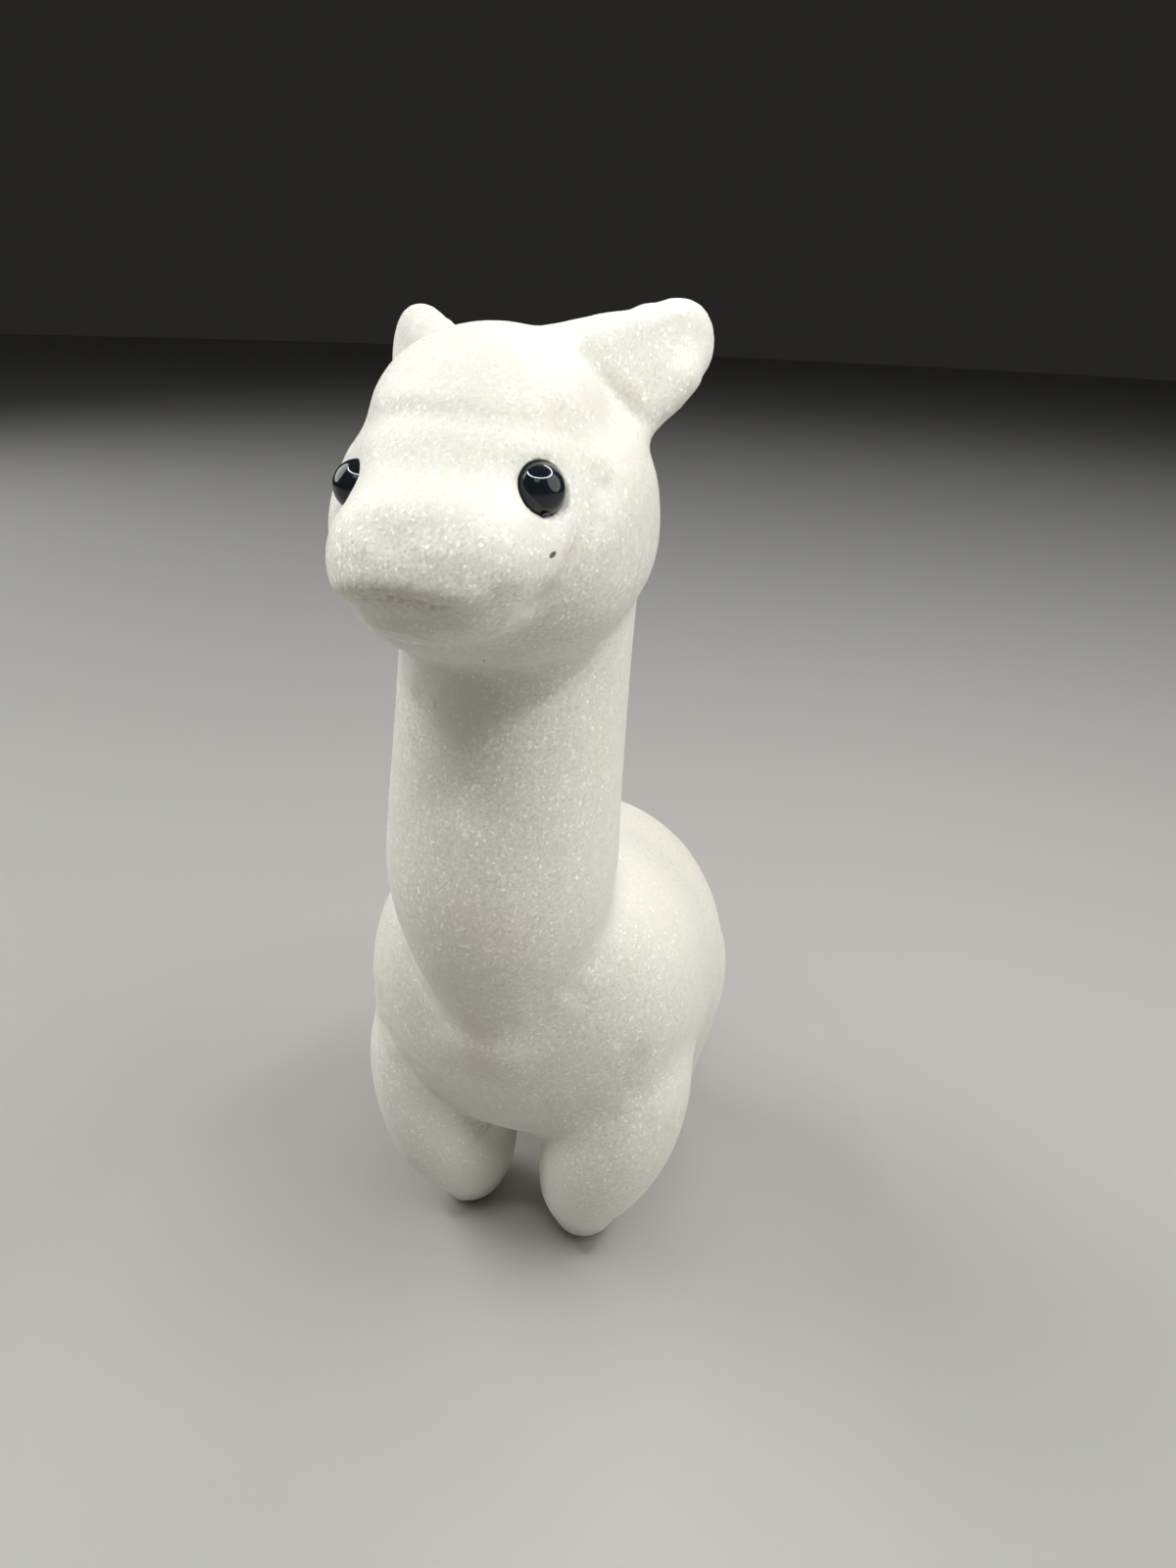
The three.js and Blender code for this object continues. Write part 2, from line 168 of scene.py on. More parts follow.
def object_coordinates(tree):
    return node(tree, "ShaderNodeTexCoord").outputs["Object"]


def kept_share(tree, name):
    """A share that was written on the mesh's points."""
    return node(tree, "ShaderNodeAttribute", {"attribute_name": name}).outputs["Fac"]


# Floor and light

FLOOR_RADIUS = 3.0
FLOOR_COLOUR = (0.40, 0.395, 0.375, 1)
FLOOR_ROUGHNESS = 0.6
STUDIO_COLOUR = (0.90, 0.87, 0.78, 1)
STUDIO_STRENGTH = 0.02
FIGURE_MIDDLE = Vector((0, 0, 0.07))
SOFT_LAMPS = [
    {"name": "right_side", "at": (0.75, 0.1, 0.5), "power": 4.5, "size": 1.0},
    {"name": "left_side", "at": (-0.75, 0.05, 0.5), "power": 5.2, "size": 0.8},
    {"name": "back_top", "at": (0, 0.8, 0.8), "power": 0.7, "size": 0.8},
    {"name": "front_top", "at": (0.1, -0.7, 0.9), "power": 0.6, "size": 0.4},
]
RING_LAMP_MIDDLE = Vector((0.01, 0.01, 0.40))
RING_LAMP_RADIUS = 0.22
RING_LAMP_PIECES = 24
RING_LAMP_OVERLAP = 1.05
RING_LAMP_GAP = (math.radians(100), math.radians(185))
RING_LAMP_POWER = 1.65
RING_LAMP_TUBE = 0.02


def make_floor():
    shape = bmesh.new()
    bmesh.ops.create_circle(shape, cap_ends=True, segments=96, radius=FLOOR_RADIUS)
    mesh = bpy.data.meshes.new("floor")
    shape.to_mesh(mesh)
    shape.free()
    floor = bpy.data.objects.new("floor", mesh)
    bpy.context.scene.collection.objects.link(floor)
    material, _, shader = new_material("pale_floor")
    shader.inputs["Base Color"].default_value = FLOOR_COLOUR
    shader.inputs["Roughness"].default_value = FLOOR_ROUGHNESS
    mesh.materials.append(material)


def add_lamp(name, kind, at, power, size, depth=None):
    """An area lamp that faces the figure and doesn't show itself."""
    data = bpy.data.lights.new(name, "AREA")
    data.shape = kind
    data.size = size
    if depth:
        data.size_y = depth
    data.energy = power
    lamp = bpy.data.objects.new(name, data)
    lamp.location = at
    lamp.rotation_euler = (FIGURE_MIDDLE - Vector(at)).to_track_quat("-Z", "Y").to_euler()
    lamp.visible_camera = False
    bpy.context.scene.collection.objects.link(lamp)
    return lamp


def make_ring_lamp():
    """An open round tube lamp above the figure, as short straight pieces, each turned down to the figure."""
    length = RING_LAMP_OVERLAP * math.tau * RING_LAMP_RADIUS / RING_LAMP_PIECES
    angles = [math.tau * number / RING_LAMP_PIECES for number in range(RING_LAMP_PIECES)]
    lit = [angle for angle in angles if not RING_LAMP_GAP[0] < angle < RING_LAMP_GAP[1]]
    power = RING_LAMP_POWER / len(lit)
    for number, angle in enumerate(lit):
        across = Vector((math.cos(angle), math.sin(angle), 0))
        along = Vector((-math.sin(angle), math.cos(angle), 0))
        at = RING_LAMP_MIDDLE + RING_LAMP_RADIUS * across
        down = (FIGURE_MIDDLE - at).normalized()
        lamp = add_lamp(f"ring_lamp_{number}", "RECTANGLE", at, power, length, RING_LAMP_TUBE)
        lamp.rotation_euler = Matrix((along, along.cross(down), -down)).transposed().to_euler()


def make_lights():
    make_ring_lamp()
    for lamp in SOFT_LAMPS:
        add_lamp(kind="DISK", **lamp)
    world = bpy.data.worlds.new("studio")
    world.use_nodes = True
    background = world.node_tree.nodes["Background"]
    background.inputs["Color"].default_value = STUDIO_COLOUR
    background.inputs["Strength"].default_value = STUDIO_STRENGTH
    bpy.context.scene.world = world
    bpy.context.scene.view_settings.view_transform = "Standard"


# The stone's skin

MERGE_GAP = 0.001 * MM
FLAT_ANGLE = math.radians(60)
ROUNDING_LEVELS = 2
CAGE_ROUNDS = 3
SKIN_SPACING = 0.6 * MM
SKIN_ROUNDS = 3
SOCKET_PATCH = 3.5 * MM
EYE_SUNK = 1.0 * MM
EYE_RADIUS = 2.5 * MM
EYES = ("left_eye", "right_eye")


def eye_centre(name):
    low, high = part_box(name)
    return (low + high) / 2


def close_socket(shape, centre):
    """Cuts the drilled socket out of the solid's copy, and closes the hole with a low dome."""
    near = [vert for vert in shape.verts if (vert.co - centre).length < SOCKET_PATCH]
    bmesh.ops.delete(shape, geom=near, context="VERTS")
    rim = [edge for edge in shape.edges if edge.is_boundary]
    patch = bmesh.ops.holes_fill(shape, edges=rim, sides=0)["faces"]
    bmesh.ops.recalc_face_normals(shape, faces=shape.faces)
    outward = patch[0].normal.copy()
    poked = bmesh.ops.poke(shape, faces=patch)
    poked["verts"][0].co = centre + EYE_SUNK * outward
    return outward


def read_places(mesh):
    places = np.empty(len(mesh.vertices) * 3)
    mesh.vertices.foreach_get("co", places)
    return places.reshape(-1, 3)


def write_places(mesh, places):
    mesh.vertices.foreach_set("co", places.ravel())
    mesh.update()


def evaluated_mesh(source):
    graph = bpy.context.evaluated_depsgraph_get()
    return bpy.data.meshes.new_from_object(source.evaluated_get(graph))


def round_through_corners(coarse):
    """Swells the cage until its rounded surface passes through the solid's own corners."""
    corners = read_places(coarse.data)
    for _ in range(CAGE_ROUNDS):
        rounded = evaluated_mesh(coarse)
        short = corners - read_places(rounded)[:len(corners)]
        write_places(coarse.data, read_places(coarse.data) + short)
        bpy.data.meshes.remove(rounded)


def even_skin():
    """An even skin of small faces over the solid, with its sockets closed, and where each eye looks."""
    shape = bmesh.new()
    shape.from_mesh(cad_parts["llama"].data)
    bmesh.ops.remove_doubles(shape, verts=shape.verts, dist=MERGE_GAP)
    outwards = {name: close_socket(shape, eye_centre(name)) for name in EYES}
    bmesh.ops.join_triangles(
        shape, faces=shape.faces, angle_face_threshold=FLAT_ANGLE, angle_shape_threshold=FLAT_ANGLE
    )
    mesh = bpy.data.meshes.new("coarse_skin")
    shape.to_mesh(mesh)
    shape.free()
    coarse = bpy.data.objects.new("coarse_skin", mesh)
    bpy.context.scene.collection.objects.link(coarse)
    rounding = coarse.modifiers.new("rounding", "SUBSURF")
    rounding.levels = rounding.render_levels = ROUNDING_LEVELS
    round_through_corners(coarse)
    evening = coarse.modifiers.new("evening", "REMESH")
    evening.mode = "VOXEL"
    evening.voxel_size = SKIN_SPACING
    smoothing = coarse.modifiers.new("smoothing", "SMOOTH")
    smoothing.factor = 0.5
    smoothing.iterations = SKIN_ROUNDS
    skin = evaluated_mesh(coarse)
    bpy.data.objects.remove(coarse)
    return skin, outwards


# Strokes, in the millimetres of the head or of the feet

PATH_STEPS = 14
FAR_AWAY = 1000


def rise(share):
    """0 below 0, 1 above 1, and smooth between."""
    share = np.clip(share, 0, 1)
    return share * share * (3 - 2 * share)


def smooth_line(points):
    """The points joined by one smooth line, as many short steps."""
    ends = [np.array(point, float) for point in (points[0], *points, points[-1])]
    steps = []
    for before, start, end, after in zip(ends, ends[1:], ends[2:], ends[3:]):
        for share in np.arange(PATH_STEPS) / PATH_STEPS:
            leave = (end - before) / 2
            arrive = (after - start) / 2
            turn = 3 * (end - start) - 2 * leave - arrive
            bend = 2 * (start - end) + leave + arrive
            steps.append(start + share * (leave + share * (turn + share * bend)))
    return np.array([*steps, ends[-1]])


def beside_line(places, points, reach):
    """For each place: its distance from the line, its offset from it, its share along it, and the line's
    own way there."""
    line = smooth_line(points)
    distance = np.full(len(places), float(FAR_AWAY))
    across = np.zeros((len(places), 3))
    share = np.zeros(len(places))
    tangent = np.tile([1.0, 0, 0], (len(places), 1))
    low, high = line.min(0) - reach, line.max(0) + reach
    near = np.flatnonzero(((places > low) & (places < high)).all(1))
    for number, (start, end) in enumerate(zip(line, line[1:])):
        step = end - start
        along = np.clip((places[near] - start) @ step / (step @ step), 0, 1)
        offset = places[near] - start - along[:, None] * step
        length = np.linalg.norm(offset, axis=1)
        closer = length < distance[near]
        rows = near[closer]
        distance[rows] = length[closer]
        across[rows] = offset[closer]
        share[rows] = (number + along[closer]) / (len(line) - 1)
        tangent[rows] = step / np.linalg.norm(step)
    return distance, across, share, tangent


def faded_ends(share, fade):
    return rise(share / fade) * rise((1 - share) / fade) if fade else np.ones(len(share))


def along_line(places, line, width, fade):
    """1 on a line, fading softly to both sides and towards both ends."""
    distance, _, share, _ = beside_line(places, line, 3 * width)
    return np.exp(-((distance / width) ** 2)) * faded_ends(share, fade)


def round_spot(places, at, radii):
    """1 at a place, fading softly all round it."""
    away = (places - np.array(at, float)) / np.array(radii, float)
    return np.exp(-(away ** 2).sum(1))


def groove(places, line, width, depth, shift=(0, 0, 0), fade=0.2, both_sides=False):
    """A soft channel along a line, or a ridge where the depth is below zero."""
    if both_sides:
        places = mirrored(places)
    return -depth * along_line(places - np.array(shift), line, width, fade)


def ledge(places, normals, line, sharp, soft, depth, shift=(0, 0, 0), fade=0.2):
    """A step down on the side that lies to the right of the line's way, which climbs out again softly."""
    distance, across, share, tangent = beside_line(places - np.array(shift), line, sharp + 2 * soft)
    side = np.einsum("ij,ij->i", across, np.cross(tangent, normals))
    step = rise(side / sharp + 0.5) * (1 - rise((side - sharp) / soft))
    beyond = rise(2 - distance / (sharp + soft))
    return -depth * step * beyond * faded_ends(share, fade)


def swell(places, at, radii, height, both_sides=False):
    """A soft rise over a round place, or a hollow where the height is below zero."""
    if both_sides:
        places = mirrored(places)
    return height * round_spot(places, at, radii)


# The lines that the carver left, on the upright head

FRINGE_EDGE = [(-10, -20.5, 117.3), (-6.3, -24.4, 117.6), (-0.8, -26.5, 117.7), (2.9, -26.4, 117.4),
               (6.1, -25, 117), (9, -22.6, 116.3), (11.8, -17.6, 115)]
LIP_EDGE = [(-9.4, -31.5, 103.6), (-6.3, -35.3, 103.9), (-3, -37.1, 104.6), (-0.3, -37.4, 104.7),
            (2.1, -37.2, 104.3), (4.9, -36.4, 103.5), (7.6, -34.6, 103.6)]
NOSE_EDGE = [(-4.6, -35.3, 109.7), (-3.2, -36.4, 108.6), (-1.9, -36.9, 108), (-0.4, -37.2, 107.4),
             (1.2, -36.9, 108.3), (2.7, -36, 109.4)]
CHEEK_VALLEY = [(12.4, -19.6, 113), (13.3, -20.1, 110.8), (13.1, -21.6, 108.7), (12.1, -24.3, 105.9),
                (11, -25.6, 103.3), (9.7, -27.5, 101.3), (8, -28.4, 99.6)]
CHIN_RIM = [(-6.6, -32.6, 99.9), (-4.9, -34, 99.3), (-1.4, -34.7, 98.8), (1.7, -33.6, 98.2),
            (4.7, -32.2, 98.3), (7.2, -31.3, 99.3), (8.4, -28.6, 99.8)]
HOOD_RIM = [(-7, -24, 95), (-3.5, -24.5, 94.4), (-0.5, -21.9, 92.8), (4.1, -22.6, 93.5),
            (8, -21.9, 94.3), (11.4, -19.5, 95.4), (14, -15, 97)]
DOME_SIDE = [(8.2, -12.2, 122.9), (9.7, -10.7, 120.8), (11.1, -8.7, 118.4), (12.8, -7.4, 116.4),
             (14.5, -5.5, 114.4)]

# The lines on the body

NECK_FAR_EDGE = [(-14.6, -9.6, 55.4), (-14.2, -11.3, 52.4), (-11.2, -14.3, 49.2), (-7.5, -16.4, 46.6),
                 (-3.8, -18.1, 44.8)]
NECK_NEAR_EDGE = [(1.9, -19, 45.4), (4, -18.4, 46.1), (6.9, -17.9, 49.6), (9.5, -17.4, 54.6),
                  (11.9, -14.7, 58.2), (12.8, -9.7, 60.5)]
CHEST_FAR_EDGE = [(-19.6, -8.3, 37.6), (-16.1, -11.1, 35.1), (-12.7, -12, 31.4), (-9, -11.7, 27.9),
                  (-6, -10.6, 25.2)]
CHEST_NEAR_EDGE = [(9.2, -12, 29.1), (11.3, -12.4, 32.1), (14.4, -12.1, 35.6), (16.7, -11.1, 39.4),
                   (18.1, -10.3, 42.9)]

# What was filed along each line, with the shift from it where the stroke runs beside it
HEAD_GROOVES = [
    # The fringe's low shelf, and the hollow under it
    {"line": FRINGE_EDGE, "shift": (0, 0, 0.9), "width": 1.7, "depth": -0.3},
    {"line": FRINGE_EDGE, "shift": (0, 0, -1.2), "width": 1.7, "depth": 0.22},
    # The valley between muzzle and cheek, and the crease between crown and ear
    {"line": CHEEK_VALLEY, "width": 1.5, "depth": 0.8, "both_sides": True},
    {"line": DOME_SIDE, "width": 1.1, "depth": 0.6, "both_sides": True},
    # The chin's lower rim, the thin channel under it, and the hood's rim on the throat
    {"line": CHIN_RIM, "width": 0.35, "depth": -0.15},
    {"line": CHIN_RIM, "shift": (0, 0.3, -0.8), "width": 0.5, "depth": 0.3},
    {"line": HOOD_RIM, "width": 0.4, "depth": -0.1},
    # The full upper lip
    {"line": LIP_EDGE, "shift": (0, 0, -0.5), "width": 1.7, "depth": -0.65, "fade": 0.15},
]
HEAD_LEDGES = [
    # The step back under the lip, and the soft edge under the nose
    {"line": LIP_EDGE, "shift": (0, 0, -1), "sharp": 1.0, "soft": 4.0, "depth": 0.25},
    {"line": NOSE_EDGE, "sharp": 0.9, "soft": 1.6, "depth": -0.08},
]
HEAD_SWELLS = [
    # The hollow above the nose, and the chin drawn in under the lip
    {"at": (0, -37, 109), "radii": (8, 5, 2.4), "height": -0.35},
    {"at": (0, -36, 100.2), "radii": (10, 6, 2), "height": -1.0},
    # The full left side of the muzzle
    {"at": (10.4, -27.4, 104.2), "radii": (3, 2.8, 3.2), "height": 1.3},
    {"at": (11.6, -25.4, 106.8), "radii": (2.5, 2.5, 2.2), "height": 0.7},
    # The ears' lower edges, the left one fuller than the right
    {"at": (16.5, -1, 118.5), "radii": (4, 4, 3), "height": 0.45, "both_sides": True},
    {"at": (18, -1, 119.2), "radii": (2.6, 3, 2.4), "height": 0.7},
    {"at": (15.8, -3, 116.6), "radii": (2.2, 2.2, 1.6), "height": 0.3},
]
BODY_GROOVES = [
    {"line": NECK_FAR_EDGE, "width": 0.8, "depth": 0.32, "fade": 0.5},
    {"line": NECK_NEAR_EDGE, "width": 2.2, "depth": 0.3, "fade": 0.5},
    {"line": CHEST_FAR_EDGE, "width": 0.7, "depth": 0.4},
    {"line": CHEST_NEAR_EDGE, "width": 2.2, "depth": 0.3, "fade": 0.3},
]

# The head's strokes give way to the body's between these heights, and the file's waves fade out at the feet.
HEAD_FADE_LOW = 88
HEAD_FADE_HIGH = 94
HAND_WAVE = 0.07
HAND_WAVE_LENGTH = 7.0
HAND_WAVE_LOW = 1
HAND_WAVE_HIGH = 5


def carve_head(head, normals):
    """How far each place of the head moves out, in millimetres."""
    moves = sum(groove(head, **stroke) for stroke in HEAD_GROOVES)
    moves += sum(ledge(head, normals, **stroke) for stroke in HEAD_LEDGES)
    moves += sum(swell(head, **form) for form in HEAD_SWELLS)
    return moves


def carve(mesh):
    """Moves the skin's points by the carver's strokes, and by the slight waves that filing leaves."""
    places = read_places(mesh)
    normals = np.empty(len(mesh.vertices) * 3)
    mesh.vertices.foreach_get("normal", normals)
    normals = normals.reshape(-1, 3)
    head = head_millimetres(places)
    body = feet_millimetres(places)
    on_head = rise((head[:, 2] - HEAD_FADE_LOW) / (HEAD_FADE_HIGH - HEAD_FADE_LOW))
    moves = carve_head(head, normals @ np.array(HEAD_AXES)) * on_head
    moves += sum(groove(body, **stroke) for stroke in BODY_GROOVES) * (1 - on_head)
    waves = np.array([noise.noise(Vector(spot) / HAND_WAVE_LENGTH) for spot in body])
    moves += HAND_WAVE * waves * rise((body[:, 2] - HAND_WAVE_LOW) / (HAND_WAVE_HIGH - HAND_WAVE_LOW))
    places += moves[:, None] * normals * MM
    places[:, 2] = np.maximum(places[:, 2], 0)
    write_places(mesh, places)


# Finer faces where the strokes are crisp, and round the eyes

EYE_REGION = 4.2 * MM
EYE_REGION_FINE = 3.7 * MM
CRISP_HEAD_LINES = (LIP_EDGE, CHIN_RIM)
CRISP_BODY_LINES = (NECK_FAR_EDGE, CHEST_FAR_EDGE)
CRISP_REACH = 1.6
SOFTEN_ROUNDS = 2


def soften(shape, verts):
    for _ in range(SOFTEN_ROUNDS):
        bmesh.ops.smooth_vert(
            shape, verts=verts, factor=0.5, use_axis_x=True, use_axis_y=True, use_axis_z=True
        )


def refine(shape, chosen):
    """Cuts each chosen face in four, and takes the corners off what that makes."""
    edges = list({edge for face in chosen for edge in face.edges})
    made = bmesh.ops.subdivide_edges(shape, edges=edges, cuts=1, use_grid_fill=True)
    soften(shape, [part for part in made["geom_inner"] if isinstance(part, bmesh.types.BMVert)])


def beside_crisp(places, line):
    return beside_line(places, line, CRISP_REACH)[0] < CRISP_REACH


def refine_crisp_places(shape):
    faces = list(shape.faces)
    middles = np.array([face.calc_center_median() for face in faces])
    crisp = np.zeros(len(faces), bool)
    for line in CRISP_HEAD_LINES:
        crisp |= beside_crisp(head_millimetres(middles), line)
    for line in CRISP_BODY_LINES:
        crisp |= beside_crisp(feet_millimetres(middles), line)
    for name in EYES:
        crisp |= np.linalg.norm(middles - np.array(eye_centre(name)), axis=1) < EYE_REGION
    refine(shape, [face for face, is_crisp in zip(faces, crisp) if is_crisp])
    for name in EYES:
        centre = eye_centre(name)
        near = [face for face in shape.faces if (face.calc_center_median() - centre).length < EYE_REGION_FINE]
        refine(shape, near)


# Eye sockets, as millimetres from the socket's axis and above the bead's centre

SOCKET_RADIUS = 2.66 * MM
SOCKET_CUT_SHORT = 0.1 * MM
SOCKET_LIP = [(2.6, 0.03), (2.53, 0.12), (2.5, 0.3)]
SOCKET_CUP = [(2.56, 0.1), (2.56, -0.4), (2.45, -1.4), (2.0, -2.2), (1.2, -2.75)]
SOCKET_BOTTOM = -3.0
SOCKET_BRIM = 0.55 * MM
SOCKET_BRIM_SLOPE = 1.3
SOCKET_SHIFT = {"left_eye": (0.12, 0), "right_eye": (0.15, 0.2)}
SOCKET_SOFTENED = 3.5 * MM
NOSE_TIP = (0, -37, 106)


def eye_directions(name, outward):
    """From an eye: across the face towards the nose, and down."""
    nose = head_place(*NOSE_TIP) - eye_centre(name)
    noseward = (nose - nose.dot(outward) * outward).normalized()
    down = outward.cross(noseward)
    return noseward, down if down.z < 0 else -down


def open_socket(shape, name, outward):
    """Cuts a round hole in the skin, draws its edge to a true circle, and sinks a round cup behind it.
    Round the hole the stone is first taken down to a low brim, which stands higher up and outwards."""
    noseward, down = eye_directions(name, outward)
    across, below = SOCKET_SHIFT[name]
    middle = eye_centre(name) + (across * noseward + below * down) * MM
    up_and_outwards = -(noseward + down).normalized()

    def parted(vert):
        offset = vert.co - middle
        height = offset.dot(outward)
        return offset - height * outward, height

    def near_hole(vert, radius):
        aside, height = parted(vert)
        return abs(height) < EYE_REGION and aside.length < radius

    def sink(edges, radius, new_height):
        """Carries the hole's edge on to a ring of another radius and height, and gives its edges."""
        made = bmesh.ops.extrude_edge_only(shape, edges=edges)["geom"]
        edges = [part for part in made if isinstance(part, bmesh.types.BMEdge) and part.is_boundary]
        for vert in {vert for edge in edges for vert in edge.verts}:
            aside, height = parted(vert)
            vert.co = middle + aside.normalized() * radius * MM + new_height(height) * outward
        return edges

    for vert in [vert for vert in shape.verts if near_hole(vert, EYE_REGION)]:
        aside, height = parted(vert)
        raised = max(aside.normalized().dot(up_and_outwards), 0)
        most = SOCKET_BRIM * (1 + raised) + SOCKET_BRIM_SLOPE * max(aside.length - SOCKET_RADIUS, 0)
        vert.co = middle + aside + min(height, most) * outward

    inner = [vert for vert in shape.verts if near_hole(vert, SOCKET_RADIUS - SOCKET_CUT_SHORT)]
    bmesh.ops.delete(shape, geom=inner, context="VERTS")
    rim = [edge for edge in shape.edges if edge.is_boundary and near_hole(edge.verts[0], EYE_REGION)]
    for vert in {vert for edge in rim for vert in edge.verts}:
        aside, height = parted(vert)
        vert.co = middle + aside.normalized() * SOCKET_RADIUS + height * outward
    soften(shape, [vert for vert in shape.verts if near_hole(vert, SOCKET_SOFTENED) and not vert.is_boundary])

    last_depth = 0
    for radius, depth in SOCKET_LIP:
        step = (depth - last_depth) * MM
        rim = sink(rim, radius, lambda height, step=step: height - step)
        last_depth = depth
    for radius, level in SOCKET_CUP:
        rim = sink(rim, radius, lambda _, level=level: level * MM)
    bottom = bmesh.ops.holes_fill(shape, edges=rim, sides=0)["faces"]
    pole = bmesh.ops.poke(shape, faces=bottom)["verts"][0]
    pole.co = middle + SOCKET_BOTTOM * MM * outward


# What time has left on the stone, and shade painted under the lip and under the chest's edge, on the upright
# head and on the body

UNDER_LIP = [(-7.5, -33.6, 103.2), (-4, -36.2, 103.4), (-1, -36.8, 103.3), (2.4, -36.3, 102.8),
             (5.4, -35.2, 102.6)]
OVER_EYE = [(7.8, -28.8, 111.4), (8.2, -27.2, 112.9), (9, -25.8, 113.5), (9.9, -24.4, 113.6),
            (11, -23.2, 113.1)]
INSIDE_FAR_LEG = [(-7.6, -8, 26), (-5.6, -7, 22.5), (-4.4, -5.6, 19.5)]
HEAD_GRIME_AND_SHADE = [
    # Under the lip: grime mottles over painted shade where the chin draws in under the lip
    {"line": UNDER_LIP, "width": 1.3, "strength": 0.9},
    {"line": OVER_EYE, "width": 0.7, "strength": 0.5},
]
BODY_GRIME_AND_SHADE = [
    # Inside the far leg: a brown stain with painted shade under the chest's edge
    {"line": INSIDE_FAR_LEG, "width": 2.2, "strength": 0.9},
]
GRIME_AND_SHADE_FADE = 0.25
TINTS = [
    {
        "name": "pink",
        "radius": 2.6,
        "places": [(1.2, -24.1, 64.2), (5.4, -22.8, 62), (0.5, -19.8, 47), (0, -18.6, 41.8)],
        "strength": 0.35,
        "colour": (0.80, 0.69, 0.65, 1),
    },
    {
        "name": "yellow",
        "radius": 5.0,
        "places": [(9.6, 19.7, 58.5), (15.1, 22.3, 53.7)],
        "strength": 0.25,
        "colour": (0.80, 0.74, 0.55, 1),
    },
]


def grime_and_shade_along(places, line, width, strength):
    return strength * along_line(places, line, width, GRIME_AND_SHADE_FADE)


def keep_share(mesh, name, share):
    """Writes a share from 0 to 1 on the mesh's points, for a material."""
    layer = mesh.attributes.new(name, "FLOAT", "POINT")
    layer.data.foreach_set("value", np.clip(share, 0, 1))


def stain_and_shade(mesh):
    """Writes each place's grime with its painted shade, and how pink and yellow it is."""
    places = read_places(mesh)
    head = head_millimetres(places)
    body = feet_millimetres(places)
    grime_and_shade_share = sum(grime_and_shade_along(head, **band) for band in HEAD_GRIME_AND_SHADE)
    grime_and_shade_share += sum(grime_and_shade_along(body, **band) for band in BODY_GRIME_AND_SHADE)
    keep_share(mesh, "grime_and_shade", grime_and_shade_share)
    for tint in TINTS:
        share = sum(round_spot(body, at, tint["radius"]) for at in tint["places"])
        keep_share(mesh, tint["name"], share)


def make_stone():
    """The carved animal, in place of its solid, and where each eye looks."""
    skin, outwards = even_skin()
    shape = bmesh.new()
    shape.from_mesh(skin)
    refine_crisp_places(shape)
    shape.to_mesh(skin)
    shape.free()
    carve(skin)
    shape = bmesh.new()
    shape.from_mesh(skin)
    for name in EYES:
        open_socket(shape, name, outwards[name])
    stone = add_piece("stone_llama", shape, "white_stone", "llama")
    stain_and_shade(stone.data)
    return stone, outwards


# Pieces

BEAD_SEGMENTS = 72
BEAD_RINGS = 36
DARK_DROP_RADII = (0.55, 0.25, 0.3)
DARK_DROP_PLACE = (1.2, 2.15, 0.75)


def add_piece(name, shape, slot, *replaced):
    """A finished piece, in place of the solids that it replaces. The material slot that it is given is not
    used.
    """
    bmesh.ops.recalc_face_normals(shape, faces=shape.faces)
    mesh = bpy.data.meshes.new(name)
    shape.to_mesh(mesh)
    shape.free()
    mesh.shade_smooth()
    piece = bpy.data.objects.new(name, mesh)
    bpy.context.scene.collection.objects.link(piece)
    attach(piece, "root")
    if replaced:
        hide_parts(*replaced)
    return piece


def make_bead(name, outward):
    """A round glass bead, its poles turned out of sight to the sides."""
    noseward, down = eye_directions(name, outward)
    turn = Matrix((outward, down, noseward)).transposed().to_4x4()
    at = Matrix.Translation(eye_centre(name)) @ turn
    shape = bmesh.new()
    bmesh.ops.create_uvsphere(
        shape, u_segments=BEAD_SEGMENTS, v_segments=BEAD_RINGS, radius=EYE_RADIUS, matrix=at
    )
    return add_piece(name.replace("eye", "bead"), shape, "eye_glass", name)


def make_dark_drop(name, outward):
    """A small black drop at the edge of a bead, placed by its way to the nose, down and out."""
    noseward, down = eye_directions(name, outward)
    turn = Matrix((noseward, down, outward)).transposed()
    middle = eye_centre(name) + turn @ Vector(DARK_DROP_PLACE) * MM
    at = Matrix.Translation(middle) @ turn.to_4x4() @ Matrix.Diagonal((*(Vector(DARK_DROP_RADII) * MM), 1))
    shape = bmesh.new()
    bmesh.ops.create_icosphere(shape, subdivisions=4, radius=1, matrix=at)
    return add_piece(name.replace("eye", "dark_drop"), shape, "eye_glass")


# Stone

CRYSTAL_SCALE = 3600
SUGAR_SCALE = 5200
CLUMP_SCALE = 1100
CLOUD_SCALE = 42
GRIME_SCALE = 1500
DULL_CRYSTAL = (0.755, 0.742, 0.665, 1)
PALE_CRYSTAL = (0.875, 0.865, 0.785, 1)
SUGAR_HOLLOW = (0.735, 0.72, 0.64, 1)
CLUMP_HOLLOW = (0.76, 0.745, 0.66, 1)
CLOUD = (0.80, 0.765, 0.65, 1)
CLOUD_STRENGTH = 0.3
# Painted glint: a few crystals lightened towards white
PAINTED_GLINT = (0.97, 0.96, 0.91, 1)
PAINTED_GLINT_STRENGTH = 0.8
